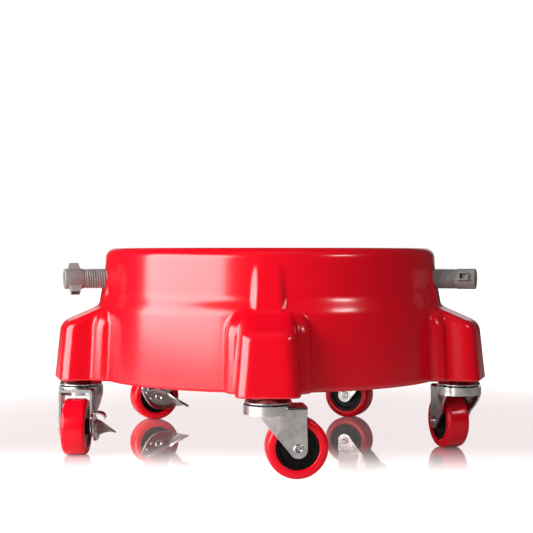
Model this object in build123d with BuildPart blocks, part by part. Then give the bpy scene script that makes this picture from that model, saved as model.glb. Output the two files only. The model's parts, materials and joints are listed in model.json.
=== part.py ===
"""Five-caster bucket dolly: a moulded ring-shaped body with a round well that a wash bucket stands in,
five swivel casters under its pods, two of them with side brakes, and two screws that clamp the bucket.

The origin is the centre of the well's floor, where the bucket's base rests. +Z is up and -Y is the front.
Heights are given above the ground and turned into Z by up().
"""

import os
from math import cos, radians, sin

from build123d import *

# Body of the dolly
SEAT = 100.0  # height of the well's floor above the ground
BASE = 67.0  # underside of the pods and the skirt
RIM = 187.5  # top of the collar
SHOULDER_LOW, SHOULDER_HIGH = 136.0, 142.5
SKIRT_R, SKIRT_TOP_R = 170.0, 166.5
COLLAR_LOW_R, COLLAR_R = 160.5, 158.5
WELL_R = 145.0
WALL = 3.6
FLOOR_T = 4.0
RIM_FILLET, RIM_INNER_FILLET, SHOULDER_FILLET = 5.0, 4.0, 4.5
WELL_FILLET = 5.0
DRAIN_COUNT, DRAIN_R, DRAIN_RING = 5, 6.0, 62.0
OVERRUN = 2.0  # how far a cut runs on past the surface it opens

# Pods, each a narrow block over a caster and a wider, shallower step behind it
POD_COUNT = 5
POD_FRONT, POD_HALF, POD_TOP, POD_DRAFT = 206.0, 26.5, 150.0, 5.5
STEP_FRONT, STEP_HALF, STEP_DRAFT = 175.5, 33.0, 2.5
POD_BACK = 118.0
POD_FILLET, STEP_FILLET = 6.5, 7.0
SLOPE_DEG, SLOPE_AT_R, SLOPE_AT_H = 23.0, 160.0, 135.5
STEP_DROP = 1.5
SPINE_HALF, SPINE_FILLET, SPINE_ROOT_R = 12.0, 3.5, 150.0
SPINE_LOW_R, SPINE_LOW_H, SPINE_HIGH_R, SPINE_HIGH_H = 167.5, 120.0, 158.2, 179.0

# Underside of the body
RIB_T, RIB_COUNT, RIB_LIFT = 3.0, 10, 4.0
RIB_RINGS = (100.0, 40.0)
BOSS_R, BOSS_TOP = 11.5, 112.0
SCREW_BOSS_R = 13.0

# Caster, in its own frame: swivel axis on Z, the wheel trailing along +X
CASTER_R = 184.0  # from the dolly's axis to each swivel axis
TRAIL = 23.0
WHEEL_R, TYRE_HALF, TYRE_FILLET, TYRE_LIP = 25.4, 10.8, 3.8, 0.6
HUB_R, HUB_HALF, HUB_DISH = 17.8, 9.6, 0.8
HUB_BOSS_R, HUB_BOSS_HALF, HUB_BOSS_SLOPE = 6.5, 12.8, 0.5
HUB_GROOVE_R, HUB_GROOVE_W, HUB_GROOVE_D = 14.3, 1.0, 0.7
AXLE_R, AXLE_HEAD_R, AXLE_HEAD_T, AXLE_DOME_R, AXLE_DOME_T, AXLE_DOME_DRAFT = 3.0, 4.3, 0.7, 3.0, 1.4, 20.0
BUSH_R = 4.6
CLEAR = 0.06  # radial clearance of the wheel on its bushing
STEM_R, STEM_LENGTH, STEM_FLANGE_R, STEM_CHAMFER = 5.0, 23.0, 8.5, 1.0
INSERT_R, INSERT_LENGTH = 7.5, 24.0
PIN_R, PIN_HEAD_R, PIN_HEAD_LOW_R, PIN_HEAD_T, PIN_CLEAR = 4.0, 7.0, 5.5, 2.2, 0.3
RACE_TOP, RACE_LOW, RACE_TOP_R, RACE_R, RACE_T, RACE_LIP = 66.4, 61.8, 17.0, 19.3, 1.3, 0.8
BALL_R, BALL_RING, BALL_COUNT, BALL_PLAY = 3.0, 13.4, 13, 0.05
DISH_R, DISH_TOP, DISH_LOW = 20.2, 60.3, 52.8
STEEL = 2.0
ARM_OUT, ARM_TOP, ARM_BACK, ARM_END_R = 15.0, 59.6, 30.3, 7.5
ARM_FRONT, JOGGLE_FILLET, BEND = -8.2, 3.5, 2.4
FLARE_LOW = 33.0  # below this the arms are flat

# Brake lever, on the arm at +Y of a braked caster
LEVER_T, LEVER_PLAY = 1.8, 0.1
LEVER_HOLE_CLEAR = 0.08
# outline of the lever's leaf as (X, Z) from the axle; the pedal folds out along the line between the curves
LEAF_LOWER = ((25.5, 9.0), (19.0, -3.0), (10.0, -9.5), (0.0, -12.8), (-9.0, -13.4), (-20.0, -10.0))
LEAF_UPPER = ((-7.0, 6.5), (4.0, 9.3), (15.0, 11.6), (25.5, 9.0))
PEDAL_TIP, PEDAL_TIP_HALF, PEDAL_OUT = (-22.0, -7.0), 1.5, 19.5
TAB_LINE, TAB_OUT = ((11.0, 10.9), (11.0, 9.1), (22.0, 8.3), (22.0, 10.1)), 13.5

# Clamp screws
SCREW_H = 159.0
THREAD_R, THREAD_ROOT_R, PITCH, THREAD_START = 9.3, 8.3, 2.2, 0.6
HEAD_R, HEAD_CHAMFER = 9.4, 1.0
SCREW_OUT, HEAD_IN, SCREW_IN = 199.5, 182.0, 148.5
SCREW_BORE_R, SCREW_BORE_L = 5.2, 15.0
WING_TIP_R, WING_T, WING_WALL = 15.4, 7.0, 1.2
# distances of the wing's edges from the head's inner end, at the rod and at the tip
WING_LOW, WING_TIP_LOW, WING_TIP_HIGH, WING_HIGH = 1.3, 2.8, 10.4, 16.5
WING_HOLLOW, WING_HOLLOW_MID = 7.2, 7.2
PAD_R, PAD_IN, PAD_PIN_R, PAD_PIN_L, PAD_CLEAR, PAD_FILLET = 8.3, 145.4, 3.5, 9.0, 0.1, 0.6
SCREW_CLEAR = 0.3

# Azimuth of each pod round the dolly, anticlockwise from +X, and which way its caster's wheel trails
CASTERS = {
    "front": (-90.0, 7.0),
    "right": (-18.0, 106.0),
    "rear_right": (54.0, 156.0),
    "rear_left": (126.0, 204.0),
    "left": (198.0, 270.0),
}
BRAKED = ("rear_left", "left")
CLAMPS = {"right": (-18.0, 78.0), "left": (198.0, 22.0)}  # azimuth, and the wings' turn about the axis


os.makedirs("parts", exist_ok=True)


def up(height):
    """Z of a height above the ground."""
    return height - SEAT


def steep(edge):
    """True for an edge that climbs more than it runs."""
    return abs((edge @ 1 - edge @ 0).normalized().Z) > 0.8


def drafted_block(front, half, draft, drop, radius, inset):
    """A block under the sloped pod top, standing on the base along +X and narrowing upwards."""
    foot = BASE - (OVERRUN if inset else 0)
    slope = radians(SLOPE_DEG)
    with BuildPart() as block:
        with BuildSketch(Plane.XY.offset(up(foot))):
            with Locations(((front - inset + POD_BACK) / 2, 0)):
                Rectangle(front - inset - POD_BACK, 2 * (half - inset))
        extrude(amount=POD_TOP - foot, taper=draft)
        lid = Plane(
            origin=(SLOPE_AT_R, 0, up(SLOPE_AT_H - drop - inset / cos(slope))),
            z_dir=(sin(slope), 0, cos(slope)),
        )
        split(bisect_by=lid, keep=Keep.BOTTOM)
        corners = block.edges().filter_by(
            lambda e: e.center().X > POD_BACK + 15 and (steep(e) or e.center().Z > up(foot) + 1)
        )
        fillet(corners, radius - inset)
    return block.part


def spine(inset):
    """The rib that climbs the collar above each pod and fades out near the rim."""
    with BuildPart() as rib:
        with BuildSketch(Plane.XZ.offset(-(SPINE_HALF - inset))):
            with BuildLine():
                Polyline(
                    (SPINE_ROOT_R, up(SPINE_LOW_H)),
                    (SPINE_LOW_R - inset, up(SPINE_LOW_H)),
                    (SPINE_HIGH_R - inset, up(SPINE_HIGH_H)),
                    (SPINE_ROOT_R, up(SPINE_HIGH_H)),
                    close=True,
                )
            make_face()
        extrude(amount=2 * (SPINE_HALF - inset))
        ends = rib.edges().filter_by(lambda e: steep(e) and e.center().X > SPINE_ROOT_R + 1)
        fillet(ends, SPINE_FILLET - inset / 2)
    return rib.part


def body_form(inset):
    """The moulding's outer form, or with an inset the hollow inside its walls, run out through the base."""
    foot = BASE - (OVERRUN if inset else 0)
    with BuildPart() as form:
        with BuildSketch(Plane.XZ):
            with BuildLine():
                Polyline(
                    (0, up(foot)),
                    (SKIRT_R - inset, up(foot)),
                    (SKIRT_TOP_R - inset, up(SHOULDER_LOW)),
                    (COLLAR_LOW_R - inset, up(SHOULDER_HIGH)),
                    (COLLAR_R - inset, up(RIM - inset)),
                    (0, up(RIM - inset)),
                    close=True,
                )
            make_face()
        revolve(axis=Axis.Z)
        fillet(form.edges().filter_by(GeomType.CIRCLE).sort_by(Axis.Z)[-1], RIM_FILLET - inset * 0.8)
        fillet(form.edges().filter_by(GeomType.CIRCLE).sort_by(Axis.Z)[1:3], SHOULDER_FILLET)
    with BuildPart() as joined:
        add(form.part)
        with PolarLocations(0, POD_COUNT, start_angle=-90):
            add(drafted_block(STEP_FRONT, STEP_HALF, STEP_DRAFT, STEP_DROP, STEP_FILLET, inset))
            add(drafted_block(POD_FRONT, POD_HALF, POD_DRAFT, 0, POD_FILLET, inset))
            add(spine(inset))
    return joined.part


def hollow():
    """The space inside the moulding, around its ribs and bosses and outside its well."""
    with BuildPart() as space:
        add(body_form(WALL))
        with BuildSketch(Plane.XY.offset(up(SEAT) - FLOOR_T)):
            Circle(WELL_R + WALL)
        extrude(amount=RIM, mode=Mode.SUBTRACT)
        with BuildSketch(Plane.XY.offset(up(BASE + RIB_LIFT))):
            for ring in RIB_RINGS:
                Circle(ring + RIB_T / 2)
                Circle(ring - RIB_T / 2, mode=Mode.SUBTRACT)
            with PolarLocations(0, RIB_COUNT, start_angle=-90):
                with Locations((POD_FRONT / 2, 0)):
                    Rectangle(POD_FRONT, RIB_T)
        extrude(amount=SEAT - BASE, mode=Mode.SUBTRACT)
        with BuildSketch(Plane.XY.offset(up(BASE) - OVERRUN)):
            with PolarLocations(CASTER_R, POD_COUNT, start_angle=-90):
                Circle(BOSS_R)
        extrude(amount=BOSS_TOP - BASE + OVERRUN, mode=Mode.SUBTRACT)
        for azimuth, _ in CLAMPS.values():
            with BuildSketch(screw_plane(azimuth, WELL_R)):
                Circle(SCREW_BOSS_R)
            extrude(amount=CASTER_R - WELL_R, mode=Mode.SUBTRACT)
    return space.part


def screw_plane(azimuth, radius):
    """Plane across a clamp screw's axis at a distance from the dolly's axis, its normal outwards."""
    outward = (cos(radians(azimuth)), sin(radians(azimuth)), 0)
    return Plane(
        origin=(radius * outward[0], radius * outward[1], up(SCREW_H)),
        x_dir=(0, 0, 1),
        z_dir=outward,
    )


def write(piece, name):
    """Label one piece and write its STEP file."""
    piece.part.label = name
    export_step(piece.part, f"parts/{name}.step")


def write_at(piece, name, place):
    """Write a copy of a piece at its place on the dolly."""
    with BuildPart() as copy:
        with Locations(place):
            add(piece.part)
    write(copy, name)


def turned(points):
    """A solid of revolution about the Z axis from a closed profile of (radius, height) points."""
    with BuildPart() as solid:
        with BuildSketch(Plane.XZ):
            with BuildLine():
                Polyline(*((radius, up(height)) for radius, height in points), close=True)
            make_face()
        revolve(axis=Axis.Z)
    return solid.part


# Body

with BuildPart() as dolly_body:
    add(body_form(0))
    add(hollow(), mode=Mode.SUBTRACT)
    # the well, rounded at its floor and at the rim
    with BuildSketch(Plane.XZ):
        with BuildLine():
            Polyline((0, up(RIM) + OVERRUN), (0, 0), (WELL_R - WELL_FILLET, 0))
            RadiusArc((WELL_R - WELL_FILLET, 0), (WELL_R, WELL_FILLET), -WELL_FILLET)
            Line((WELL_R, WELL_FILLET), (WELL_R, up(RIM) - RIM_INNER_FILLET))
            RadiusArc(
                (WELL_R, up(RIM) - RIM_INNER_FILLET),
                (WELL_R + RIM_INNER_FILLET, up(RIM)),
                RIM_INNER_FILLET,
            )
            Polyline(
                (WELL_R + RIM_INNER_FILLET, up(RIM)),
                (WELL_R + RIM_INNER_FILLET, up(RIM) + OVERRUN),
                (0, up(RIM) + OVERRUN),
            )
        make_face()
    revolve(axis=Axis.Z, mode=Mode.SUBTRACT)
    # drain holes between the ribs
    with BuildSketch(Plane.XY.offset(-FLOOR_T - OVERRUN)):
        with PolarLocations(DRAIN_RING, DRAIN_COUNT, start_angle=-72):
            Circle(DRAIN_R)
    extrude(amount=FLOOR_T + 2 * OVERRUN, mode=Mode.SUBTRACT)
    # sockets for the stem inserts
    with BuildSketch(Plane.XY.offset(up(BASE) - OVERRUN)):
        with PolarLocations(CASTER_R, POD_COUNT, start_angle=-90):
            Circle(INSERT_R)
    extrude(amount=INSERT_LENGTH + OVERRUN, mode=Mode.SUBTRACT)
    # bores for the clamp screws, through both walls of the collar
    for azimuth, _ in CLAMPS.values():
        with BuildSketch(screw_plane(azimuth, WELL_R - 10)):
            Circle(THREAD_R + SCREW_CLEAR)
        extrude(amount=CASTER_R - WELL_R, mode=Mode.SUBTRACT)
write(dolly_body, "dolly_body")

with BuildPart() as stem_inserts:
    with BuildSketch(Plane.XY.offset(up(BASE))):
        with PolarLocations(CASTER_R, POD_COUNT, start_angle=-90):
            Circle(INSERT_R)
            Circle(STEM_R, mode=Mode.SUBTRACT)
    extrude(amount=INSERT_LENGTH)
write(stem_inserts, "stem_inserts")

# Casters, each piece made once about its swivel axis

WEB_TOP = RACE_TOP - RACE_T - 2 * (BALL_R + BALL_PLAY)  # raceway in the fork's crown
AXLE_H = WHEEL_R

with BuildPart() as stem:
    pin_low = WEB_TOP - STEEL - PIN_CLEAR
    stem_profile = (
        (0, BASE + STEM_LENGTH),
        (STEM_R - STEM_CHAMFER, BASE + STEM_LENGTH),
        (STEM_R, BASE + STEM_LENGTH - STEM_CHAMFER),
        (STEM_R, BASE),
        (STEM_FLANGE_R, BASE),
        (STEM_FLANGE_R, RACE_TOP),
        (PIN_R, RACE_TOP),
        (PIN_R, pin_low),
        (PIN_HEAD_R, pin_low),
        (PIN_HEAD_LOW_R, pin_low - PIN_HEAD_T),
        (0, pin_low - PIN_HEAD_T),
    )
    add(turned(stem_profile))

with BuildPart() as top_race:
    race_profile = (
        (PIN_R, RACE_TOP),
        (RACE_TOP_R, RACE_TOP),
        (RACE_R, RACE_LOW + RACE_LIP),
        (RACE_R, RACE_LOW),
        (RACE_R - RACE_T, RACE_LOW),
        (RACE_R - RACE_T, RACE_LOW + RACE_LIP),
        (RACE_TOP_R - RACE_T, RACE_TOP - RACE_T),
        (PIN_R, RACE_TOP - RACE_T),
    )
    add(turned(race_profile))

with BuildPart() as race_balls:
    with PolarLocations(BALL_RING, BALL_COUNT):
        with Locations((0, 0, up(WEB_TOP + BALL_R + BALL_PLAY))):
            Sphere(BALL_R)

with BuildPart() as crown:
    crown_profile = (
        (PIN_R + PIN_CLEAR, WEB_TOP),
        (DISH_R - STEEL, WEB_TOP),
        (DISH_R - STEEL, DISH_TOP),
        (DISH_R, DISH_TOP),
        (DISH_R, DISH_LOW),
        (DISH_R - STEEL, DISH_LOW),
        (DISH_R - STEEL, WEB_TOP - STEEL),
        (PIN_R + PIN_CLEAR, WEB_TOP - STEEL),
    )
    add(turned(crown_profile))


def stamping(inset):
    """The fork's outer form, or with an inset the room inside it: a round crown flaring over flat arms."""
    with BuildPart() as form:
        with BuildSketch(Plane.XY.offset(up(AXLE_H - ARM_END_R - 1))):
            with Locations((ARM_BACK / 2 + inset, 0)):
                Rectangle(ARM_BACK, 2 * (ARM_OUT - inset))
        extrude(amount=ARM_TOP - AXLE_H + ARM_END_R + 1)
        flare_profile = (
            (0, FLARE_LOW),
            (ARM_OUT - inset, FLARE_LOW),
            (DISH_R - inset, DISH_LOW),
            (DISH_R - inset, ARM_TOP),
            (0, ARM_TOP),
        )
        add(turned(flare_profile))
        joggles = form.edges().filter_by(
            lambda e: 9 < e.center().X < ARM_BACK - 8 and FLARE_LOW < e.center().Z + SEAT < ARM_TOP - 1
        )
        fillet(joggles, JOGGLE_FILLET - inset / 2)
    return form.part


with BuildPart() as fork_room:
    add(stamping(STEEL))
    split(bisect_by=Plane.XY.offset(up(WEB_TOP - STEEL)), keep=Keep.BOTTOM)

with BuildPart() as fork:
    add(stamping(0))
    bends = fork.edges().filter_by(Axis.X).filter_by(lambda e: e.center().Z > up(ARM_TOP) - 1)
    fillet(bends, BEND)
    # the arms' outline from the side
    with BuildSketch(Plane.XZ.offset(-DISH_R - 1)):
        with Locations((TRAIL, up(AXLE_H))):
            Circle(ARM_END_R)
        with Locations(((ARM_FRONT + ARM_BACK - 1) / 2, up((DISH_LOW - 1 + ARM_TOP) / 2))):
            Rectangle(ARM_BACK - 1 - ARM_FRONT, ARM_TOP - DISH_LOW + 1)
        make_hull()
        with Locations((0, up((DISH_LOW + ARM_TOP + 1) / 2))):
            Rectangle(2 * ARM_BACK, ARM_TOP + 1 - DISH_LOW)
    extrude(amount=2 * DISH_R + 2, mode=Mode.INTERSECT)
    # hollow under the crown and between the arms
    add(fork_room.part, mode=Mode.SUBTRACT)
    with BuildSketch(Plane.XY.offset(up(WEB_TOP - STEEL))):
        Circle(DISH_R)
    extrude(amount=STEEL + 5, mode=Mode.SUBTRACT)
    add(crown.part)
    with BuildSketch(Plane.XZ.offset(-DISH_R)):
        with Locations((TRAIL, up(AXLE_H))):
            Circle(AXLE_R)
    extrude(amount=2 * DISH_R, mode=Mode.SUBTRACT)


def make_axle(extra):
    """The riveted axle, with a lever's thickness to spare at its +Y end on a braked caster."""
    with BuildPart() as pin:
        for side, seat in ((-1, ARM_OUT), (1, ARM_OUT + extra)):
            with BuildSketch(Plane.XZ):
                Circle(AXLE_R)
            extrude(amount=-side * seat)
            with BuildSketch(Plane.XZ.offset(-side * seat)):
                Circle(AXLE_HEAD_R)
            extrude(amount=-side * AXLE_HEAD_T)
            with BuildSketch(Plane.XZ.offset(-side * (seat + AXLE_HEAD_T))):
                Circle(AXLE_DOME_R)
            extrude(amount=-side * AXLE_DOME_T, taper=AXLE_DOME_DRAFT)
    with BuildPart() as axle:
        with Locations((TRAIL, 0, up(AXLE_H))):
            add(pin.part)
    return axle


axle = make_axle(0)
long_axle = make_axle(LEVER_T + 2 * LEVER_PLAY)

with BuildPart() as axle_bushing:
    with BuildSketch(Plane.XZ.offset(-(ARM_OUT - STEEL))):
        with Locations((TRAIL, up(AXLE_H))):
            Circle(BUSH_R)
            Circle(AXLE_R, mode=Mode.SUBTRACT)
    extrude(amount=2 * (ARM_OUT - STEEL))


def wheel_turned(points):
    """A solid of revolution about the axle from a closed profile of (radius, Y) points."""
    with BuildPart() as solid:
        with BuildSketch(Plane.XY.offset(up(AXLE_H))):
            with BuildLine():
                Polyline(*((TRAIL + radius, across) for radius, across in points), close=True)
            make_face()
        revolve(axis=Axis((TRAIL, 0, up(AXLE_H)), (0, 1, 0)))
    return solid.part


def mirrored(points):
    """A half profile of (radius, half width) points, outwards, joined to its mirror image."""
    return list(points) + [(radius, -across) for radius, across in reversed(points)]


with BuildPart() as hub:
    hub_profile = (
        (BUSH_R + CLEAR, HUB_BOSS_HALF),
        (HUB_BOSS_R, HUB_BOSS_HALF),
        (HUB_BOSS_R + HUB_BOSS_SLOPE, HUB_HALF - HUB_DISH - HUB_BOSS_SLOPE),
        (HUB_GROOVE_R - HUB_GROOVE_W / 2, HUB_HALF - HUB_DISH),
        (HUB_GROOVE_R, HUB_HALF - HUB_DISH - HUB_GROOVE_D),
        (HUB_GROOVE_R + HUB_GROOVE_W / 2, HUB_HALF),
        (HUB_R, HUB_HALF),
    )
    add(wheel_turned(mirrored(hub_profile)))

with BuildPart() as tyre:
    tyre_profile = (
        (HUB_R, TYRE_HALF - TYRE_LIP),
        (HUB_R + 2 * TYRE_LIP, TYRE_HALF),
        (WHEEL_R, TYRE_HALF),
    )
    add(wheel_turned(mirrored(tyre_profile)))
    treads = tyre.edges().filter_by(GeomType.CIRCLE).filter_by(lambda e: e.radius > WHEEL_R - 0.1)
    fillet(treads, TYRE_FILLET)

LEVER_IN = ARM_OUT + LEVER_PLAY


def beside_axle(point, out=0.0):
    """The place of an (X, Z) point measured from the axle, on the lever's inner face or out from it."""
    return Vector(TRAIL + point[0], LEVER_IN + out, up(AXLE_H) + point[1])


with BuildPart() as lever:
    # the leaf, beside the arm
    with BuildSketch(Plane.XZ.offset(-LEVER_IN)):
        with BuildLine(Location((TRAIL, up(AXLE_H)))):
            Spline(*LEAF_LOWER)
            Line(LEAF_LOWER[-1], LEAF_UPPER[0])
            Spline(*LEAF_UPPER)
        make_face()
        with Locations((TRAIL, up(AXLE_H))):
            Circle(AXLE_R + LEVER_HOLE_CLEAR, mode=Mode.SUBTRACT)
    extrude(amount=-LEVER_T)
    # the pedal, a tongue folded outwards
    fold_low = beside_axle(LEAF_LOWER[-1])
    fold_high = beside_axle(LEAF_UPPER[0])
    tip = beside_axle(PEDAL_TIP, PEDAL_OUT)
    pedal = Plane(
        origin=fold_low,
        x_dir=fold_high - fold_low,
        z_dir=(fold_high - fold_low).cross(tip - fold_low),
    )
    reach = pedal.to_local_coords(tip)
    with BuildSketch(pedal):
        Polygon(
            (0, 0),
            ((fold_high - fold_low).length, 0),
            (reach.X + PEDAL_TIP_HALF, reach.Y),
            (reach.X - PEDAL_TIP_HALF, reach.Y),
            align=None,
        )
    extrude(amount=-LEVER_T)
    # the release tab, folded out from the upper edge
    with BuildSketch(Plane.XZ.offset(-LEVER_IN)):
        with Locations((TRAIL, up(AXLE_H))):
            Polygon(*TAB_LINE, align=None)
    extrude(amount=-TAB_OUT)

for name, (azimuth, trail) in CASTERS.items():
    centre = (CASTER_R * cos(radians(azimuth)), CASTER_R * sin(radians(azimuth)), 0)
    place = Location(centre, (0, 0, trail))
    write_at(stem, f"{name}_caster_stem", place)
    write_at(top_race, f"{name}_top_race", place)
    write_at(race_balls, f"{name}_race_balls", place)
    write_at(fork, f"{name}_fork", place)
    write_at(long_axle if name in BRAKED else axle, f"{name}_axle", place)
    write_at(axle_bushing, f"{name}_axle_bushing", place)
    write_at(hub, f"{name}_wheel_hub", place)
    write_at(tyre, f"{name}_tyre", place)
    if name in BRAKED:
        write_at(lever, f"{name}_brake_lever", place)

# Clamp screws, each made about the Z axis with its outer end up, then laid along its radius


def screw_profile():
    """Half section of the screw: a ridged thread, a plain head and the bores in both ends."""
    points = [(PAD_PIN_R + PAD_CLEAR, SCREW_IN), (THREAD_ROOT_R, SCREW_IN)]
    ridge = SCREW_IN + THREAD_START
    while ridge + PITCH < HEAD_IN:
        points += [
            (THREAD_ROOT_R, ridge),
            (THREAD_R, ridge + 0.4 * PITCH),
            (THREAD_R, ridge + 0.6 * PITCH),
        ]
        ridge += PITCH
    points += [
        (THREAD_ROOT_R, ridge),
        (HEAD_R, HEAD_IN),
        (HEAD_R, SCREW_OUT - HEAD_CHAMFER),
        (HEAD_R - HEAD_CHAMFER, SCREW_OUT),
        (SCREW_BORE_R, SCREW_OUT),
        (SCREW_BORE_R, SCREW_OUT - SCREW_BORE_L),
        (0, SCREW_OUT - SCREW_BORE_L),
        (0, SCREW_IN + PAD_PIN_L),
        (PAD_PIN_R + PAD_CLEAR, SCREW_IN + PAD_PIN_L),
    ]
    return [(radius, along + SEAT) for radius, along in points]


with BuildPart() as clamp_screw:
    add(turned(screw_profile()))
    for side in (-1, 1):
        with BuildSketch(Plane.XZ.offset(-WING_T / 2)):
            with BuildLine():
                Polyline(
                    (side * (SCREW_BORE_R + 1), HEAD_IN + WING_LOW),
                    (side * THREAD_R, HEAD_IN + WING_LOW),
                    (side * WING_TIP_R, HEAD_IN + WING_TIP_LOW),
                    (side * WING_TIP_R, HEAD_IN + WING_TIP_HIGH),
                    (side * THREAD_R, HEAD_IN + WING_HIGH),
                    (side * (SCREW_BORE_R + 1), HEAD_IN + WING_HIGH),
                    close=True,
                )
            make_face()
        extrude(amount=WING_T)
        # the wing's hollow, open at its tip
        with BuildSketch(Plane.YZ.offset(side * (THREAD_R - 0.5))):
            with Locations((0, HEAD_IN + WING_HOLLOW_MID)):
                Rectangle(WING_T - 2 * WING_WALL, WING_HOLLOW)
        extrude(amount=side * (WING_TIP_R - THREAD_R + OVERRUN), mode=Mode.SUBTRACT)

with BuildPart() as clamp_pad:
    with BuildSketch(Plane.XY.offset(PAD_IN)):
        Circle(PAD_R)
    extrude(amount=SCREW_IN - PAD_CLEAR - PAD_IN)
    fillet(clamp_pad.faces().sort_by(Axis.Z)[0].edges(), PAD_FILLET)
    with BuildSketch(Plane.XY.offset(SCREW_IN - 2 * PAD_CLEAR)):
        Circle(PAD_PIN_R)
    extrude(amount=PAD_PIN_L - 5 * PAD_CLEAR)

for name, (azimuth, turn) in CLAMPS.items():
    laid = Plane(
        origin=(0, 0, up(SCREW_H)),
        x_dir=(0, 0, 1),
        z_dir=(cos(radians(azimuth)), sin(radians(azimuth)), 0),
    ).location * Location((0, 0, 0), (0, 0, turn))
    write_at(clamp_screw, f"{name}_clamp_screw", laid)
    write_at(clamp_pad, f"{name}_clamp_pad", laid)
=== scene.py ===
"""Looks of the five-caster bucket dolly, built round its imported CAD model.

Everything is in metres in the model's own frame: +Z up, the front caster towards -Y, the origin at the
centre of the well's floor. Each caster has its own frame here too: its swivel axis, and the way its wheel
trails, both read from the joints.
"""

import json
from math import cos, pi, radians, sin

import bmesh
import bpy
import numpy as np
from mathutils import Matrix, Vector


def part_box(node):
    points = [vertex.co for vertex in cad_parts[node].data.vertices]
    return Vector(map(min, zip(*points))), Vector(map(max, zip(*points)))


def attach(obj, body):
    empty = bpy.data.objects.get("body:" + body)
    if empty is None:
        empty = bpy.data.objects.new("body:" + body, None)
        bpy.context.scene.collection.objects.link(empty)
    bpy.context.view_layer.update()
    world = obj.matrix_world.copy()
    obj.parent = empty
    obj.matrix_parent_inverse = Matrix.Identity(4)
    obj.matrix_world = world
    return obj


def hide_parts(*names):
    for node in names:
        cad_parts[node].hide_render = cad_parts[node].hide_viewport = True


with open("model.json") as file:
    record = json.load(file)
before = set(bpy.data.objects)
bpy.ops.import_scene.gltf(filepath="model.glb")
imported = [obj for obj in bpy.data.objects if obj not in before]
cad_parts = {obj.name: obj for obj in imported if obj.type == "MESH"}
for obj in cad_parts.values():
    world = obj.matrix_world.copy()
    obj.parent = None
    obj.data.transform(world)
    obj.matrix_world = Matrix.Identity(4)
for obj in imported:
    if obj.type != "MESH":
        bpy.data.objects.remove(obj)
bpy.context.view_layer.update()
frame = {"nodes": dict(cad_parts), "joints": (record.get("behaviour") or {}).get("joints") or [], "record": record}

MM = 0.001
NODES = frame["nodes"]
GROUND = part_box("front_tyre")[0][2]
CASTERS = ("front", "right", "rear_right", "rear_left", "left")
BRAKED = ("rear_left", "left")
CLAMPS = ("left", "right")


# Camera, floor and light

LENS, CAMERA_PLACE = 75.2, (0.0096, -1.087, GROUND + 0.1837)
CAMERA_AIM = Vector((-0.0121, 1, -0.0129))
BACKDROP_EDGE = (0.93, 0.955)  # how far round from the side the backdrop fades in
ROOM_LIGHT, BACKDROP_LIGHT = 0.06, 1.1
# The floor's glow is painted light: emission seen by the camera only, eased from dim under the dolly to full in
# front and far off.
FLOOR_HALF, FLOOR_PAINTED_GLOW, FLOOR_MIRROR = 6.0, (0.7, 1.0), 0.92
PAINTED_GLOW_FADE, MIRROR_FADE = (-0.2, 0.06), (-0.22, -0.02)  # from front to back, in Y
FAR_FADE = (0.25, 0.8)  # distance from the dolly's axis
SLANT_FADE = (0.45, 0.8)  # from a steep look at the floor to a grazing one


def add_camera():
    """A level lens a little above the collar's middle, on the dolly's front."""
    data = bpy.data.cameras.new("camera")
    data.sensor_width = 36
    data.lens = LENS
    data.clip_start, data.clip_end = 0.01, 50
    camera = bpy.data.objects.new("camera", data)
    camera.location = CAMERA_PLACE
    camera.rotation_euler = CAMERA_AIM.to_track_quat("-Z", "Y").to_euler()
    bpy.context.scene.collection.objects.link(camera)
    bpy.context.scene.camera = camera


def faded(tree, value, start, end, low, high):
    """A value eased between low and high as another goes from start to end."""
    node = tree.nodes.new("ShaderNodeMapRange")
    node.interpolation_type = "SMOOTHSTEP"
    node.inputs["From Min"].default_value = start
    node.inputs["From Max"].default_value = end
    node.inputs["To Min"].default_value = low
    node.inputs["To Max"].default_value = high
    tree.links.new(value, node.inputs["Value"])
    return node.outputs["Result"]


def combined(tree, operation, first, second):
    """Two values put together by a math node."""
    node = tree.nodes.new("ShaderNodeMath")
    node.operation = operation
    for socket, value in zip(node.inputs, (first, second)):
        if isinstance(value, float):
            socket.default_value = value
        else:
            tree.links.new(value, socket)
    return node.outputs["Value"]


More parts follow.
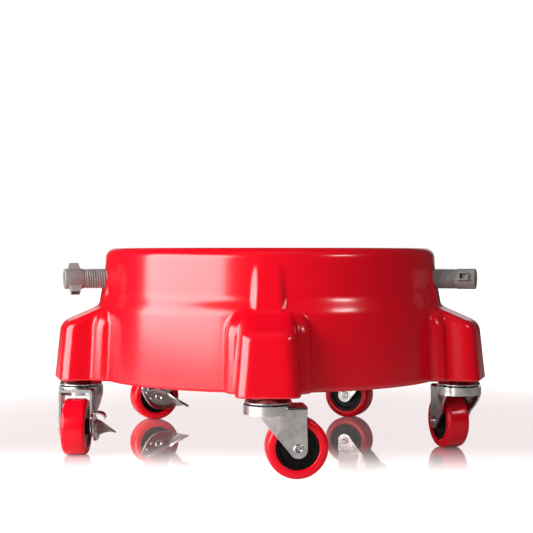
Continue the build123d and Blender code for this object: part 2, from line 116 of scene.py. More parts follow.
def add_floor():
    """A white sheet that mirrors what stands on it. For the camera only it also glows as painted light,
    pink-tinted as painted bounce from the red body, full in front and far away and dimmer under the dolly.
    """
    mesh = bpy.data.meshes.new("floor")
    corners = [(x * FLOOR_HALF, y * FLOOR_HALF, GROUND) for x, y in ((-1, -1), (1, -1), (1, 1), (-1, 1))]
    mesh.from_pydata(corners, [], [(0, 1, 2, 3)])
    floor = bpy.data.objects.new("floor", mesh)
    bpy.context.scene.collection.objects.link(floor)
    material, tree, shader = new_material("floor")
    # Painted bounce light: the floor's colour is tinted pink as if lit by the red body.
    shader.inputs["Base Color"].default_value = (0.82, 0.76, 0.76, 1)
    shader.inputs["Roughness"].default_value = 0.3
    shader.inputs["Specular IOR Level"].default_value = 0.3
    place = tree.nodes.new("ShaderNodeTexCoord").outputs["Object"]
    parts = tree.nodes.new("ShaderNodeSeparateXYZ")
    distance = tree.nodes.new("ShaderNodeVectorMath")
    distance.operation = "LENGTH"
    tree.links.new(place, parts.inputs["Vector"])
    tree.links.new(place, distance.inputs[0])
    seen = tree.nodes.new("ShaderNodeLightPath").outputs["Is Camera Ray"]
    far = faded(tree, distance.outputs["Value"], *FAR_FADE, 0, 1)
    # Painted light: where the floor glows for the camera, full in front and far off.
    painted_glow_mask = combined(tree, "MAXIMUM", faded(tree, parts.outputs["Y"], *PAINTED_GLOW_FADE, 1, 0), far)
    glow = faded(tree, painted_glow_mask, 0, 1, *FLOOR_PAINTED_GLOW)
    dull = combined(tree, "MAXIMUM", faded(tree, parts.outputs["Y"], *MIRROR_FADE, 1, 0), far)
    mirror = combined(tree, "MULTIPLY", combined(tree, "SUBTRACT", 1.0, dull), FLOOR_MIRROR)
    # Painted bounce light: the glow is tinted pink as if lit by the red body.
    shader.inputs["Emission Color"].default_value = (1, 0.95, 0.95, 1)
    tree.links.new(combined(tree, "MULTIPLY", glow, seen), shader.inputs["Emission Strength"])
    gloss = tree.nodes.new("ShaderNodeBsdfAnisotropic")
    gloss.inputs["Color"].default_value = (1, 0.9, 0.9, 1)
    gloss.inputs["Roughness"].default_value = 0.025
    mix = tree.nodes.new("ShaderNodeMixShader")
    slant = tree.nodes.new("ShaderNodeLayerWeight").outputs["Facing"]
    mirror = combined(tree, "MULTIPLY", mirror, faded(tree, slant, *SLANT_FADE, 0, 1))
    tree.links.new(combined(tree, "MULTIPLY", mirror, seen), mix.inputs["Fac"])
    tree.links.new(shader.outputs[0], mix.inputs[1])
    tree.links.new(gloss.outputs[0], mix.inputs[2])
    tree.links.new(mix.outputs[0], tree.nodes["Material Output"].inputs["Surface"])
    mesh.materials.append(material)


def add_area(name, place, aim, size, power, mirrored=True):
    """A softbox of size (width, height) in metres, facing a point, seen in reflections or not."""
    data = bpy.data.lights.new(name, "AREA")
    data.shape = "RECTANGLE"
    data.size, data.size_y = size
    data.energy = power
    light = bpy.data.objects.new(name, data)
    light.visible_glossy = mirrored
    light.location = place
    light.rotation_euler = (Vector(aim) - Vector(place)).to_track_quat("-Z", "Y").to_euler()
    bpy.context.scene.collection.objects.link(light)


def add_world():
    """A studio with a white backdrop behind the dolly and a dim room in front of it."""
    world = bpy.data.worlds.new("studio")
    bpy.context.scene.world = world
    world.use_nodes = True
    tree = world.node_tree
    tree.nodes.clear()
    output = tree.nodes.new("ShaderNodeOutputWorld")
    seen = tree.nodes.new("ShaderNodeBackground")
    seen.inputs["Strength"].default_value = 1.0
    seen.inputs["Color"].default_value = (1, 1, 1, 1)
    room = tree.nodes.new("ShaderNodeBackground")
    direction = tree.nodes.new("ShaderNodeTexCoord")
    parts = tree.nodes.new("ShaderNodeSeparateXYZ")
    tree.links.new(direction.outputs["Generated"], parts.inputs["Vector"])
    backdrop = faded(tree, parts.outputs["Y"], *BACKDROP_EDGE, ROOM_LIGHT, BACKDROP_LIGHT)
    tree.links.new(backdrop, room.inputs["Strength"])
    mix = tree.nodes.new("ShaderNodeMixShader")
    path = tree.nodes.new("ShaderNodeLightPath")
    tree.links.new(path.outputs["Is Camera Ray"], mix.inputs["Fac"])
    tree.links.new(room.outputs[0], mix.inputs[1])
    tree.links.new(seen.outputs[0], mix.inputs[2])
    tree.links.new(mix.outputs[0], output.inputs["Surface"])


# Materials


def new_material(name):
    """A material with its node tree and its Principled shader."""
    material = bpy.data.materials.new(name)
    material.use_nodes = True
    tree = material.node_tree
    return material, tree, tree.nodes["Principled BSDF"]


def noise(tree, scale, detail=4.0, roughness=0.55, stretch=(1, 1, 1)):
    """A noise texture in the model's own coordinates, scale in features per metre."""
    place = tree.nodes.new("ShaderNodeTexCoord")
    mapping = tree.nodes.new("ShaderNodeMapping")
    mapping.inputs["Scale"].default_value = stretch
    texture = tree.nodes.new("ShaderNodeTexNoise")
    texture.inputs["Scale"].default_value = scale
    texture.inputs["Detail"].default_value = detail
    texture.inputs["Roughness"].default_value = roughness
    tree.links.new(place.outputs["Object"], mapping.inputs["Vector"])
    tree.links.new(mapping.outputs["Vector"], texture.inputs["Vector"])
    return texture.outputs["Fac"]


def ramp(tree, value, stops):
    """A colour ramp over a value, from (position, colour) stops."""
    node = tree.nodes.new("ShaderNodeValToRGB")
    elements = node.color_ramp.elements
    elements[0].position, elements[0].color = stops[0][0], (*stops[0][1], 1)
    elements[1].position, elements[1].color = stops[-1][0], (*stops[-1][1], 1)
    for position, colour in stops[1:-1]:
        elements.new(position).color = (*colour, 1)
    tree.links.new(value, node.inputs["Fac"])
    return node.outputs["Color"]


def spread(tree, value, low, high):
    """A value from a noise's middle range, spread between low and high."""
    node = tree.nodes.new("ShaderNodeMapRange")
    node.inputs["From Min"].default_value = 0.3
    node.inputs["From Max"].default_value = 0.7
    node.inputs["To Min"].default_value = low
    node.inputs["To Max"].default_value = high
    tree.links.new(value, node.inputs["Value"])
    return node.outputs["Result"]


def bump(tree, shader, value, height):
    """Bump of a height in metres from a value."""
    node = tree.nodes.new("ShaderNodeBump")
    node.inputs["Distance"].default_value = height
    node.inputs["Strength"].default_value = 1.0
    tree.links.new(value, node.inputs["Height"])
    tree.links.new(node.outputs["Normal"], shader.inputs["Normal"])


def red_plastic():
    """Glossy moulded plastic, dyed through, with slight flow marks and handling haze."""
    material, tree, shader = new_material("red_plastic")
    drift = noise(tree, 9, 3)
    colour = ramp(tree, drift, [(0.3, (0.66, 0.0005, 0.009)), (0.7, (0.74, 0.001, 0.013))])
    tree.links.new(colour, shader.inputs["Base Color"])
    haze = noise(tree, 24, 4, 0.55, (1, 1, 0.5))
    tree.links.new(spread(tree, haze, 0.19, 0.23), shader.inputs["Roughness"])
    shader.inputs["Specular IOR Level"].default_value = 0.5
    shader.inputs["Coat Weight"].default_value = 0.3
    shader.inputs["Coat Roughness"].default_value = 0.14
    shader.inputs["Subsurface Weight"].default_value = 0.08
    shader.inputs["Subsurface Radius"].default_value = (0.004, 0.0006, 0.0006)
    bump(tree, shader, noise(tree, 900, 2), 0.000006)
    return material


def zinc_steel():
    """Bright zinc plate over stamped steel, faintly clouded and blue-grey in places."""
    material, tree, shader = new_material("zinc_steel")
    shader.inputs["Metallic"].default_value = 1
    cloud = noise(tree, 120, 5, 0.65)
    stops = [(0.34, (0.40, 0.43, 0.45)), (0.5, (0.60, 0.60, 0.59)), (0.68, (0.70, 0.69, 0.66))]
    colour = ramp(tree, cloud, stops)
    tree.links.new(colour, shader.inputs["Base Color"])
    tree.links.new(spread(tree, noise(tree, 260, 6, 0.7), 0.16, 0.30), shader.inputs["Roughness"])
    bump(tree, shader, noise(tree, 900, 4), 0.00003)
    return material


def ball_steel():
    """Plain bright steel with fine turning marks."""
    material, tree, shader = new_material("ball_steel")
    shader.inputs["Metallic"].default_value = 1
    colour = ramp(tree, noise(tree, 300), [(0.3, (0.5, 0.5, 0.5)), (0.7, (0.7, 0.7, 0.69))])
    tree.links.new(colour, shader.inputs["Base Color"])
    tree.links.new(spread(tree, noise(tree, 500), 0.15, 0.3), shader.inputs["Roughness"])
    return material


def brass():
    """Turned brass, a little dulled."""
    material, tree, shader = new_material("brass")
    shader.inputs["Metallic"].default_value = 1
    colour = ramp(tree, noise(tree, 200), [(0.3, (0.55, 0.38, 0.14)), (0.7, (0.78, 0.58, 0.27))])
    tree.links.new(colour, shader.inputs["Base Color"])
    tree.links.new(spread(tree, noise(tree, 400), 0.25, 0.4), shader.inputs["Roughness"])
    return material


def red_tyre():
    """Cast polyurethane: smooth, slightly translucent, with faint scuffs."""
    material, tree, shader = new_material("red_tyre")
    drift = noise(tree, 45, 3)
    colour = ramp(tree, drift, [(0.3, (0.68, 0.001, 0.010)), (0.7, (0.82, 0.002, 0.016))])
    tree.links.new(colour, shader.inputs["Base Color"])
    tree.links.new(spread(tree, noise(tree, 220, 6, 0.7), 0.13, 0.24), shader.inputs["Roughness"])
    shader.inputs["Specular IOR Level"].default_value = 0.3
    shader.inputs["Subsurface Weight"].default_value = 0.12
    shader.inputs["Subsurface Radius"].default_value = (0.003, 0.0005, 0.0005)
    bump(tree, shader, noise(tree, 500, 5), 0.00004)
    return material


def black_plastic():
    """Black moulded nylon with a fine grain."""
    material, tree, shader = new_material("black_plastic")
    colour = ramp(tree, noise(tree, 150), [(0.3, (0.002, 0.002, 0.002)), (0.7, (0.006, 0.006, 0.006))])
    tree.links.new(colour, shader.inputs["Base Color"])
    tree.links.new(spread(tree, noise(tree, 420, 5), 0.26, 0.42), shader.inputs["Roughness"])
    shader.inputs["Specular IOR Level"].default_value = 0.14
    bump(tree, shader, noise(tree, 1200, 3), 0.00003)
    return material


def grey_plastic():
    """Warm grey moulded plastic, satin, with a fine grain."""
    material, tree, shader = new_material("grey_plastic")
    colour = ramp(tree, noise(tree, 110, 4), [(0.3, (0.21, 0.197, 0.19)), (0.7, (0.28, 0.262, 0.255))])
    tree.links.new(colour, shader.inputs["Base Color"])
    tree.links.new(spread(tree, noise(tree, 380, 5), 0.34, 0.5), shader.inputs["Roughness"])
    bump(tree, shader, noise(tree, 1500, 3), 0.00003)
    return material


MATERIALS = {
    make.__name__: make()
    for make in (red_plastic, zinc_steel, ball_steel, brass, red_tyre, black_plastic, grey_plastic)
}
SLOTS = {part["node"]: part["material_slot"] for part in frame["record"]["subparts"]}

for name, node in NODES.items():
    node.data.materials.clear()
    node.data.materials.append(MATERIALS[SLOTS[name]])

# Body of the dolly, a moulding whose pods and ribs blend into its skirt and collar

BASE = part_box("dolly_body")[0][2]
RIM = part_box("dolly_body")[1][2]
POD_COUNT = 5
WALL = 3.6 * MM
WELL_R, WELL_FILLET, RIM_INNER_FILLET, FLOOR_T = 145 * MM, 5 * MM, 4 * MM, 4 * MM
SKIRT_LOW_R, SKIRT_HIGH_R = 169 * MM, 165.6 * MM
SHOULDER_LOW, SHOULDER = RIM - 50.9 * MM, RIM - 46.4 * MM
COLLAR_LOW_R, COLLAR_HIGH_R = 160.5 * MM, 158.5 * MM
EDGE_R, RIM_R, SHOULDER_FILLET = 2.8 * MM, 9 * MM, 5 * MM
LID_SLOPE, LID_FROM, LID_LEVEL = radians(23), 160 * MM, RIM - 51.5 * MM
POD_SIDE, POD_FRONT, POD_TOP = (26.8 * MM, 22.8 * MM), (206 * MM, 200.8 * MM), BASE + 52 * MM
POD_CORNER, POD_LID_R, POD_EDGE, POD_JOIN = 11 * MM, 6 * MM, 1.5 * MM, 3 * MM
STEP_SIDE, STEP_FRONT, STEP_TOP = (36.5 * MM, 35 * MM), (178 * MM, 174 * MM), BASE + 70 * MM
STEP_DROP, STEP_LID_R, STEP_CORNER, STEP_JOIN = 1 * MM, 15 * MM, 10 * MM, 2.5 * MM
SPINE_SIDE, SPINE_FRONT = (13.6 * MM, 11 * MM), (167 * MM, 158.7 * MM)
SPINE_LOW, SPINE_HIGH, SPINE_END = RIM - 60 * MM, RIM - 14 * MM, (159.6 * MM, 147 * MM)
SPINE_R, SPINE_JOIN = 3 * MM, 2.5 * MM


def rounded_meet(fields, radius):
    """Intersection of distance fields, its outward edges rounded."""
    past = [np.maximum(field + radius, 0) for field in fields]
    inside = fields[0]
    for field in fields[1:]:
        inside = np.maximum(inside, field)
    return np.sqrt(sum(p * p for p in past)) - radius + np.minimum(inside + radius, 0)


def rounded_join(first, second, radius):
    """Union of two distance fields with a fillet between them."""
    near = np.sqrt(np.maximum(radius - first, 0) ** 2 + np.maximum(radius - second, 0) ** 2)
    return np.maximum(np.minimum(first, second), radius) - near


def line_field(x, z, low, high):
    """Distance outwards from a line through two (x, z) points, the low one first."""
    run, rise = high[0] - low[0], high[1] - low[1]
    length = (run * run + rise * rise) ** 0.5
    return ((x - low[0]) * rise - (z - low[1]) * run) / length


def leaning(x, z, reach, low, high):
    """Distance outwards from a wall that leans from one reach to another between two heights."""
    return line_field(x, z, (reach[0], low), (reach[1], high))


def body_field(x, y, z):
    """Signed distance from the outer surface, in a pod's own frame: x outwards along its middle."""
    radius, across = np.sqrt(x * x + y * y), np.abs(y)
    under = BASE - z
    skirt = leaning(radius, z, (SKIRT_LOW_R, SKIRT_HIGH_R), BASE, SHOULDER_LOW)
    shoulder = leaning(radius, z, (SKIRT_HIGH_R, COLLAR_LOW_R), SHOULDER_LOW, SHOULDER)
    skirt = rounded_meet([rounded_meet([skirt, shoulder], SHOULDER_FILLET), under], EDGE_R)
    collar = leaning(radius, z, (COLLAR_LOW_R, COLLAR_HIGH_R), SHOULDER, RIM)
    collar = rounded_meet([collar, z - RIM], RIM_R)
    ring = rounded_join(skirt, collar, SHOULDER_FILLET)
    lid = (x - LID_FROM) * sin(LID_SLOPE) + (z - LID_LEVEL) * cos(LID_SLOPE)
    step = rounded_meet([leaning(across, z, STEP_SIDE, BASE, STEP_TOP), lid + STEP_DROP], STEP_LID_R)
    step = rounded_meet([step, leaning(x, z, STEP_FRONT, BASE, STEP_TOP)], STEP_CORNER)
    step = rounded_meet([step, under], EDGE_R)
    sides = [leaning(across, z, POD_SIDE, BASE, POD_TOP), leaning(x, z, POD_FRONT, BASE, POD_TOP)]
    pod = rounded_meet([rounded_meet(sides, POD_CORNER), lid], POD_LID_R)
    pod = rounded_meet([pod, under], POD_EDGE)
    sides = [
        leaning(across, z, SPINE_SIDE, SPINE_LOW, SPINE_HIGH),
        leaning(x, z, SPINE_FRONT, SPINE_LOW, SPINE_HIGH),
        leaning(x, z, SPINE_END, SPINE_HIGH, RIM),
        under,
    ]
    whole = rounded_join(ring, rounded_meet(sides, SPINE_R), SPINE_JOIN)
    whole = rounded_join(whole, step, STEP_JOIN)
    return rounded_join(whole, pod, POD_JOIN)


def skin_radius(angles, heights, depth):
    """Radius of the skin, or of one a depth inside it, at each height (rows) and angle (columns)."""
    sector = 2 * pi / POD_COUNT
    turn = (angles + pi / 2 + sector / 2) % sector - sector / 2
    along, across = np.cos(turn)[None, :], np.sin(turn)[None, :]
    level = np.broadcast_to(heights[:, None], (len(heights), len(angles)))
    low, high = np.full(level.shape, 90 * MM), np.full(level.shape, 230 * MM)
    for _ in range(26):
        middle = (low + high) / 2
        outside = body_field(middle * along, middle * across, level) + depth > 0
        low, high = np.where(outside, low, middle), np.where(outside, middle, high)
    return low


def eased(start, end, count):
    """Values from start to end, crowded at the start like heights round a fillet."""
    return [start + (end - start) * (1 - cos(pi / 2 * i / count)) for i in range(count + 1)]


def even(start, end, count):
    """Evenly spaced values, without the first."""
    return [start + (end - start) * (i + 1) / count for i in range(count)]


def arc(centre, radius, start, end, count=6):
    """Points along an arc, angles in degrees."""
    turns = [radians(start + (end - start) * i / count) for i in range(count + 1)]
    return [(centre[0] + radius * cos(t), centre[1] + radius * sin(t)) for t in turns]


def body_columns():
    """Angles of the mesh's columns, close together along the pods' sides."""
    half = even(0, 5.5, 8) + even(5.5, 15, 40) + even(15, 36, 24)
    sector = [-a for a in reversed(half[:-1])] + [0] + half
    return np.radians([pod * 72 - 90 + a for pod in range(POD_COUNT) for a in sector])


def add_object(name, vertices, faces, material, smooth=True):
    """A mesh object from vertices and faces, with one material."""
    mesh = bpy.data.meshes.new(name)
    mesh.from_pydata(vertices, [], faces)
    mesh.validate()
    mesh.materials.append(MATERIALS[material])
    mesh.polygons.foreach_set("use_smooth", [smooth] * len(mesh.polygons))
    piece = bpy.data.objects.new(name, mesh)
    bpy.context.scene.collection.objects.link(piece)
    return piece


def add_body():
    """The moulding as one closed skin: outside, rim, well, underside and the inside of its walls."""
    angles = body_columns()
    outer = np.array(
        eased(BASE, BASE + EDGE_R, 6)
        + even(BASE + EDGE_R, BASE + 50 * MM, 30)
        + even(BASE + 50 * MM, SHOULDER + 6 * MM, 50)
        + even(SHOULDER + 6 * MM, RIM - RIM_R, 30)
        + [RIM - h for h in reversed(eased(0, RIM_R, 8)[:-1])]
    )
    outside = skin_radius(angles, outer, 0)
    rings = [(row, height) for row, height in zip(outside, outer)]
    inner = arc((WELL_R + RIM_INNER_FILLET, RIM - RIM_INNER_FILLET), RIM_INNER_FILLET, 90, 180, 7)
    inner += arc((WELL_R - WELL_FILLET, WELL_FILLET), WELL_FILLET, 0, -90, 6)
    inner += [(r, 0) for r in even(WELL_R - WELL_FILLET, 10 * MM, 6)]
    rings += [(np.full(len(angles), radius), height) for radius, height in inner]
    top_pole = len(rings)
    below = [(r, -FLOOR_T) for r in [10 * MM] + even(10 * MM, WELL_R + WALL, 6)]
    below += [(WELL_R + WALL, h) for h in even(-FLOOR_T, RIM - WALL - 1 * MM, 6)]
    rings += [(np.full(len(angles), radius), height) for radius, height in below]
    lining = np.array(even(RIM - WALL - 0.5 * MM, SHOULDER, 12) + even(SHOULDER, BASE + 1 * MM, 30) + [BASE])
    inside = skin_radius(angles, np.maximum(lining, BASE + WALL + 1 * MM), WALL)
    rings += [(row, height) for row, height in zip(inside, lining)]
    count = len(angles)
    vertices = []
    for row, height in rings:
        vertices += [(r * cos(a), r * sin(a), height) for r, a in zip(row, angles)]
    faces = []
    for ring in range(len(rings)):
        following = (ring + 1) % len(rings)
        if following == top_pole:
            continue
        for i in range(count):
            j = (i + 1) % count
            faces.append((ring * count + i, ring * count + j, following * count + j, following * count + i))
    faces.append(tuple((top_pole - 1) * count + i for i in range(count)))
    faces.append(tuple(top_pole * count + i for i in reversed(range(count))))
    body = add_object("moulded_body", vertices, faces, "red_plastic")
    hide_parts("dolly_body")
    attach(body, "dolly")
    return body


add_body()

# Frames of the casters and screws, from the joints

JOINTS = {joint["name"]: joint for joint in frame["joints"]}


def caster_frame(name):
    """A caster's own frame: origin on the ground under its swivel axis, X the way its wheel trails."""
    swivel = JOINTS[f"{name}_swivel_turn"]["pos_m"]
    side = Vector(JOINTS[f"{name}_wheel_spin"]["axis"])
    up = Vector((0, 0, 1))
    turn = Matrix((side.cross(up), side, up)).transposed().to_4x4()
    return Matrix.Translation((swivel[0], swivel[1], GROUND)) @ turn


def screw_frame(name):
    """A clamp screw's frame: origin on the dolly's axis, Z outwards along the screw, X up."""
    joint = JOINTS[f"{name}_clamp_turn"]
    outward = -Vector(joint["axis"])
    up = Vector((0, 0, 1))
    turn = Matrix((up, outward.cross(up), outward)).transposed().to_4x4()
    return Matrix.Translation((0, 0, joint["pos_m"][2])) @ turn


def lathe(name, profile, place, material, steps=96, closed=False):
    """A turned piece: (radius, along) points in millimetres, swept about the Z axis of its place."""
    vertices, faces = [], []
    for radius, along in profile:
        for i in range(steps):
            turn = 2 * pi * i / steps
            vertices.append(place @ Vector((radius * cos(turn) * MM, radius * sin(turn) * MM, along * MM)))
    rows = len(profile)
    for row in range(rows if closed else rows - 1):
        following = (row + 1) % rows
        for i in range(steps):
            j = (i + 1) % steps
            faces.append((row * steps + i, row * steps + j, following * steps + j, following * steps + i))
    if not closed:
        faces.append(tuple(reversed(range(steps))))
        faces.append(tuple((rows - 1) * steps + i for i in range(steps)))
    return add_object(name, vertices, faces, material)


def tidy_normals(piece, sharp=40):
    """Faces turned outwards, and edges over an angle shown sharp."""
    shape = bmesh.new()
    shape.from_mesh(piece.data)
    bmesh.ops.remove_doubles(shape, verts=shape.verts, dist=1e-6)
    bmesh.ops.recalc_face_normals(shape, faces=shape.faces)
    shape.to_mesh(piece.data)
    shape.free()
    piece.data.set_sharp_from_angle(angle=radians(sharp))


# Wheels

AXLE_H, TRAIL = 25.4, 23.0


def axle_place(name):
    """On the axle's middle, Z along the axle towards the caster's own +Y."""
    along = Matrix.Rotation(-pi / 2, 4, "X")
    return caster_frame(name) @ Matrix.Translation((TRAIL * MM, 0, AXLE_H * MM)) @ along


def add_wheel(name):
    """Tyre with a slight crown and moulding line, on a dished hub with a groove and a raised boss."""
    place = axle_place(name)
    half = arc((21.6, 7.0), 3.8, 0, 82, 8) + [(20.4, 10.75), (19.2, 10.8), (18.1, 10.45), (17.8, 10.0)]
    tread = [(25.4, 0)] + half
    profile = [(r, -a) for r, a in reversed(tread[1:])] + tread
    tyre = lathe(f"{name}_tyre_skin", profile + [(17.8, -10.0)], place, "red_tyre", 128, closed=True)
    tidy_normals(tyre)
    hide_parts(f"{name}_tyre")
    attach(tyre, f"{name}_wheel")
    face = [(17.79, 9.3), (17.3, 9.75), (15.1, 9.75), (14.8, 9.5), (14.4, 8.9), (13.9, 8.9), (13.5, 9.3)]
    face += [(9.5, 9.1), (7.6, 8.7), (7.1, 9.0), (6.8, 12.2), (6.3, 12.7), (4.66, 12.8)]
    profile = [(r, a) for r, a in face] + [(r, -a) for r, a in reversed(face)]
    hub = lathe(f"{name}_hub_skin", profile, place, "black_plastic", 96, closed=True)
    tidy_normals(hub)
    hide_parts(f"{name}_wheel_hub")
    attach(hub, f"{name}_wheel")


AXLE_R, AXLE_HEAD_R, ARM_OUT, LEVER_ROOM = 3.0, 4.3, 15.0, 2.0


def add_axle(name):
    """The axle, with a rolled and dimpled head beyond each arm of the fork, or beyond the lever."""
    half = [(AXLE_R, 0), (AXLE_R, ARM_OUT + 0.01)]
    half += [(AXLE_HEAD_R, ARM_OUT + 0.01), (AXLE_HEAD_R, ARM_OUT + 0.4)]
    half += arc((AXLE_HEAD_R - 0.9, ARM_OUT + 0.4), 0.9, 15, 90, 5)
    half += [(2.4, ARM_OUT + 1.2), (1.9, ARM_OUT + 0.6), (1.4, ARM_OUT + 0.1), (0.05, ARM_OUT)]
    room = LEVER_ROOM if name in BRAKED else 0
    far = [half[0]] + [(r, a + room) for r, a in half[1:]]
    profile = [(r, -a) for r, a in reversed(half[1:])] + far
    axle = lathe(f"{name}_axle_skin", profile, axle_place(name), "zinc_steel", 48)
    tidy_normals(axle)
    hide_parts(f"{name}_axle")
    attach(axle, f"{name}_swivel")


# Clamp screws

SCREW_IN, HEAD_IN, SCREW_OUT = 148.5, 182.0, 199.5
THREAD_R, ROOT_R, PITCH = 9.3, 8.35, 2.2
SCREW_TURN = {"left": 34, "right": 78}


def thread_radius(along, turn):
    """Radius of the screw's right-hand thread at a distance along it and a turn in radians."""
    phase = ((along / PITCH) - turn / (2 * pi)) % 1.0
    ridge = min(max(abs(phase - 0.5) * 4 - 0.6, 0), 1)
    fade = min(max((along - SCREW_IN - 0.3) / 1.5, 0), 1) * min(max((HEAD_IN - 0.6 - along) / 1.2, 0), 1)
    return ROOT_R + (THREAD_R - ROOT_R) * (1 - ridge) * fade


def add_screw(name):
    """A threaded rod with a plain bored head and two hollow wings."""
    place = screw_frame(name) @ Matrix.Rotation(radians(SCREW_TURN[name]), 4, "Z")
    steps, rows = 72, []
    count = int((HEAD_IN - SCREW_IN) / PITCH * 10)
    for i in range(count + 1):
        along = SCREW_IN + (HEAD_IN - 0.3 - SCREW_IN) * i / count
        rows.append((along, [thread_radius(along, 2 * pi * k / steps) for k in range(steps)]))
    outer = [(THREAD_R - 0.2, HEAD_IN - 0.2), (THREAD_R + 0.1, HEAD_IN + 0.2)]
    outer += [(THREAD_R + 0.1, SCREW_OUT - 1.3)] + arc((THREAD_R - 1.0, SCREW_OUT - 1.1), 1.1, 10, 90, 5)
    outer += arc((6.0, SCREW_OUT - 0.8), 0.8, 90, 180, 4)
    outer += [(5.1, SCREW_OUT - 14), (4.4, SCREW_OUT - 15), (0.05, SCREW_OUT - 15)]
    rows += [(along, [radius] * steps) for radius, along in outer]
    vertices, faces = [], []
    for along, radii in rows:
        for k, radius in enumerate(radii):
            turn = 2 * pi * k / steps
            vertices.append(place @ Vector((radius * cos(turn) * MM, radius * sin(turn) * MM, along * MM)))
    for row in range(len(rows) - 1):
        for k in range(steps):
            j = (k + 1) % steps
            faces.append((row * steps + k, row * steps + j, (row + 1) * steps + j, (row + 1) * steps + k))
    faces.append(tuple(reversed(range(steps))))
    faces.append(tuple((len(rows) - 1) * steps + k for k in range(steps)))
    rod = add_object(f"{name}_screw_rod", vertices, faces, "grey_plastic")
    tidy_normals(rod, 50)
    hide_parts(f"{name}_clamp_screw")
    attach(rod, f"{name}_screw")
    for side in (-1, 1):
        add_wing(name, side, place)


WING_HALF, WING_WALL = 3.6, 1.15
WING_ROOT, WING_NECK, WING_FLOOR, WING_TIP = 7.5, 9.6, 10.2, 15.4
WING_INNER_EDGE, WING_OUTER_EDGE = (HEAD_IN + 2.4, HEAD_IN + 3.7), (HEAD_IN + 13.2, HEAD_IN + 12.2)


def add_wing(name, side, place):
    """One wing of a screw: a trapezoid box, hollow and open at its tip."""
    half, wall = WING_HALF, WING_WALL
    outline = [(WING_ROOT, WING_INNER_EDGE[0] - 0.2), (WING_NECK, WING_INNER_EDGE[0])]
    outline += [(WING_TIP, WING_INNER_EDGE[1]), (WING_TIP, WING_OUTER_EDGE[1])]
    outline += [(WING_NECK, WING_OUTER_EDGE[0]), (WING_ROOT, WING_OUTER_EDGE[0])]
    hole = [(WING_TIP, WING_INNER_EDGE[1] + wall), (WING_TIP, WING_OUTER_EDGE[1] - wall)]
    hole += [(WING_FLOOR, WING_OUTER_EDGE[0] - 0.2 - wall), (WING_FLOOR, WING_INNER_EDGE[0] + 0.2 + wall)]
    shape = bmesh.new()

    def ring(points, across):
        return [shape.verts.new(place @ (Vector((side * r, across, a)) * MM)) for r, a in points]

    low, high = ring(outline, -half), ring(outline, half)
    for i in (0, 1, 3, 4, 5):
        j = (i + 1) % 6
        shape.faces.new((low[i], low[j], high[j], high[i]))
    shape.faces.new(low)
    shape.faces.new(high)
    mouth_low = ring(hole[:2], -half + wall)
    mouth_high = ring(hole[:2], half - wall)
    floor_low = ring(hole[2:], -half + wall)
    floor_high = ring(hole[2:], half - wall)
    shape.faces.new((low[2], low[3], mouth_low[1], mouth_low[0]))
    shape.faces.new((low[3], high[3], mouth_high[1], mouth_low[1]))
    shape.faces.new((high[3], high[2], mouth_high[0], mouth_high[1]))
    shape.faces.new((high[2], low[2], mouth_low[0], mouth_high[0]))
    shape.faces.new((mouth_low[0], mouth_low[1], floor_low[0], floor_low[1]))
    shape.faces.new((mouth_high[0], mouth_high[1], floor_high[0], floor_high[1]))
    shape.faces.new((mouth_low[0], mouth_high[0], floor_high[1], floor_low[1]))
    shape.faces.new((mouth_low[1], mouth_high[1], floor_high[0], floor_low[0]))
    shape.faces.new((floor_low[0], floor_low[1], floor_high[1], floor_high[0]))
    bmesh.ops.recalc_face_normals(shape, faces=shape.faces)
    mesh = bpy.data.meshes.new(f"{name}_screw_wing")
    shape.to_mesh(mesh)
    shape.free()
    mesh.materials.append(MATERIALS["grey_plastic"])
    side_name = "a" if side > 0 else "b"
    wing = bpy.data.objects.new(f"{name}_screw_wing_{side_name}", mesh)
    bpy.context.scene.collection.objects.link(wing)
    soften(wing, 0.35)
    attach(wing, f"{name}_screw")


def soften(piece, width, segments=3):
    """Rounded edges of a width in millimetres, and smooth shading between them."""
    bevel = piece.modifiers.new("edges", "BEVEL")
    bevel.width = width * MM
    bevel.segments = segments
    bevel.limit_method = "ANGLE"
    bevel.angle_limit = radians(35)
    bevel.harden_normals = True
    for face in piece.data.polygons:
        face.use_smooth = True


# Brake levers, in the caster's own frame from the axle, in millimetres

LEAF_LOWER = ((19.5, 9.0), (17.4, 3.4), (14.6, -1.8), (11.6, -6.0), (8.4, -9.3), (4.6, -11.6), (0.0, -12.8))
LEAF_LOWER += ((-4.5, -13.4), (-9.0, -13.4), (-14.5, -12.2), (-20.0, -10.0))
LEAF_UPPER = ((19.5, 10.8), (17.8, 13.2), (15.0, 14.6), (12.0, 15.0), (9.0, 14.4), (6.5, 13.2), (4.0, 11.6))
LEAF_UPPER += ((1.0, 9.8), (-2.0, 8.4), (-4.5, 7.4), (-7.0, 6.5))
LEVER_IN, LEVER_T = 15.1, 1.8
PEDAL_TIP = Vector((-28.0, 31.6, -9.8))
TAB_CURL = ((15.6, 13.4), (17.5, 14.3), (20.0, 14.9), (23.0, 14.8))
TAB_CURL += ((25.6, 13.9), (27.4, 12.3), (27.8, 10.5), (26.8, 9.4))


def sheet(name, rows, place, thickness, material, edge=0.5):
    """A bent sheet of a thickness, from rows of points in millimetres, with rounded edges."""
    count = len(rows[0])
    vertices = [place @ (Vector(point) * MM) for row in rows for point in row]
    faces = []
    for i in range(len(rows) - 1):
        for j in range(count - 1):
            faces.append((i * count + j, i * count + j + 1, (i + 1) * count + j + 1, (i + 1) * count + j))
    piece = add_object(name, vertices, faces, material)
    solid = piece.modifiers.new("thickness", "SOLIDIFY")
    solid.thickness = thickness * MM
    solid.offset = 0
    soften(piece, edge)
    return piece


def leaf_rows():
    """The lever's leaf, its long edges curling outwards."""
    rows = []
    for low, high in zip(LEAF_LOWER, LEAF_UPPER):
        row = []
        for k in range(9):
            across = k / 8
            curl = 1.3 * abs(2 * across - 1) ** 5
            x, z = (a + (b - a) * across for a, b in zip(low, high))
            row.append((x, LEVER_IN + LEVER_T / 2 + curl, z))
        rows.append(row)
    return rows


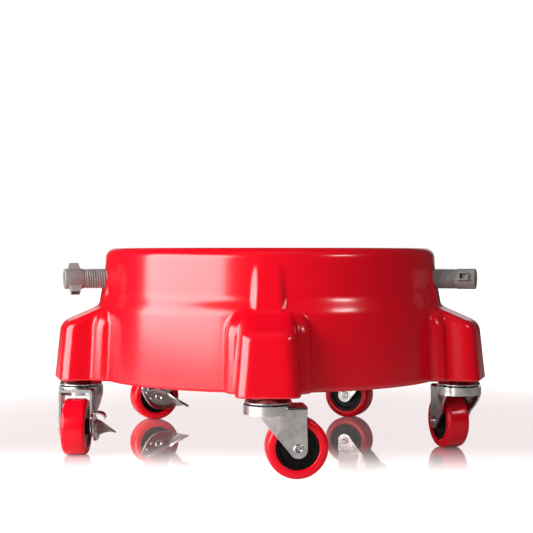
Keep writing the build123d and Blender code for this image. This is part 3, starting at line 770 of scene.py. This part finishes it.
def pedal_rows():
    """The pedal, a spoon-shaped tongue that narrows to its tip."""
    low = Vector((LEAF_LOWER[-1][0], LEVER_IN + 0.9, LEAF_LOWER[-1][1]))
    high = Vector((LEAF_UPPER[-1][0], LEVER_IN + 0.9, LEAF_UPPER[-1][1]))
    middle, half = (low + high) / 2, (high - low).length / 2
    rows = []
    for i in range(15):
        out = i / 14
        centre = middle.lerp(PEDAL_TIP, out) + Vector((0, 0, 2.2 * sin(pi * out)))
        width = half * (1 - out**1.7) ** 0.75 + 0.5 * out
        along = (high - low).normalized().lerp(Vector((1, 0, 0.25)), out).normalized()
        row = []
        for k in range(9):
            side = k / 4 - 1
            droop = side * side * (0.2 + out) * (1 - out)
            row.append(centre + along * width * side + Vector((0, -0.8, -2.4)) * droop)
        rows.append(row)
    return rows


def add_lever(name):
    """A stamped side brake: a leaf on the axle, a pedal to press and a tab to lift it again."""
    place = caster_frame(name) @ Matrix.Translation((TRAIL * MM, 0, AXLE_H * MM))
    leaf = sheet(f"{name}_lever_leaf", leaf_rows(), place, LEVER_T, "zinc_steel")
    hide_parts(f"{name}_brake_lever")
    pedal = sheet(f"{name}_lever_pedal", pedal_rows(), place, LEVER_T - 0.3, "zinc_steel")
    tab = [[(x, across, height - 0.08 * (x - 7)) for across, height in TAB_CURL] for x in (7, 10, 13, 16)]
    hook = sheet(f"{name}_lever_tab", tab, place, LEVER_T - 0.2, "zinc_steel")
    beside = axle_place(name)
    rivet = [(0.05, LEVER_IN + 2.9), (0.9, LEVER_IN + 2.8), (1.5, LEVER_IN + 2.4), (1.8, LEVER_IN + 1.5)]
    pieces = [leaf, pedal, hook]
    for label, x, z in (("rivet", 8.5, -1.0), ("stud", 13.5, 5.5)):
        spot = beside @ Matrix.Translation((x * MM, -z * MM, 0))
        boss = lathe(f"{name}_lever_{label}", rivet, spot, "zinc_steel", 24)
        tidy_normals(boss)
        pieces.append(boss)
    for piece in pieces:
        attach(piece, f"{name}_brake")


# Underside of the moulding


def box_faces(vertices, faces, corners, low, high):
    """Add a wall between two heights over a four-cornered footprint."""
    start = len(vertices)
    vertices += [(x, y, z) for z in (low, high) for x, y in corners]
    faces += [(start + 3, start + 2, start + 1, start), tuple(range(start + 4, start + 8))]
    for i in range(4):
        j = (i + 1) % 4
        faces.append((start + i, start + j, start + 4 + j, start + 4 + i))


RIB_HALF = 1.5
RIB_HUB, POD_RIB_END, OTHER_RIB_END = 2 * MM, 200 * MM, 164.5 * MM
BOSS_NEAR, BOSS_FAR = 173 * MM, 195 * MM  # where a caster's boss breaks the rib of its pod


def add_ribs():
    """The ribs, rings and insert bosses under the well's floor."""
    vertices, faces = [], []
    low, high = BASE + 4 * MM, -FLOOR_T + 0.5 * MM
    for k in range(2 * POD_COUNT):
        angle = radians(36 * k - 90)
        if k % 2 == 0:
            spans = [(RIB_HUB, BOSS_NEAR), (BOSS_FAR, POD_RIB_END)]
        else:
            spans = [(RIB_HUB, OTHER_RIB_END)]
        for near, far in spans:
            side = Vector((-sin(angle), cos(angle))) * RIB_HALF * MM
            out = Vector((cos(angle), sin(angle)))
            corners = [out * near - side, out * far - side, out * far + side, out * near + side]
            box_faces(vertices, faces, [tuple(c) for c in corners], low, high)
    ribs = add_object("under_ribs", vertices, faces, "red_plastic", smooth=False)
    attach(ribs, "dolly")
    for number, ring in enumerate((40, 100)):
        near, far = ring - RIB_HALF, ring + RIB_HALF
        profile = [(near, low / MM), (far, low / MM), (far, high / MM), (near, high / MM)]
        hoop = lathe(f"under_ring_{number}", profile, Matrix.Identity(4), "red_plastic", 96, closed=True)
        tidy_normals(hoop)
        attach(hoop, "dolly")
    for caster in CASTERS:
        swivel = JOINTS[f"{caster}_swivel_turn"]["pos_m"]
        place = Matrix.Translation((swivel[0], swivel[1], BASE))
        profile = [(7.55, 0.2), (11.5, 0.2), (11.5, 45), (0.05, 45), (0.05, 24.2), (7.55, 24.2)]
        boss = lathe(f"{caster}_insert_boss", profile, place, "red_plastic", 48, closed=True)
        tidy_normals(boss)
        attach(boss, "dolly")


for caster in CASTERS:
    add_wheel(caster)
    add_axle(caster)
for caster in BRAKED:
    add_lever(caster)
for clamp in CLAMPS:
    add_screw(clamp)
add_ribs()

add_camera()
add_floor()
add_world()
add_area("key", (-1.12, -0.72, 0.44), (0, 0, 0.06), (1.62, 0.92), 40)
add_area("top", (0.1, -0.7, 1.5), (0, 0, 0), (1.0, 0.8), 4.5, mirrored=False)
add_area("side", (0.95, -0.8, 0.72), (0, 0, 0.04), (0.3, 0.14), 2.6)
bpy.context.scene.view_settings.view_transform = "Standard"
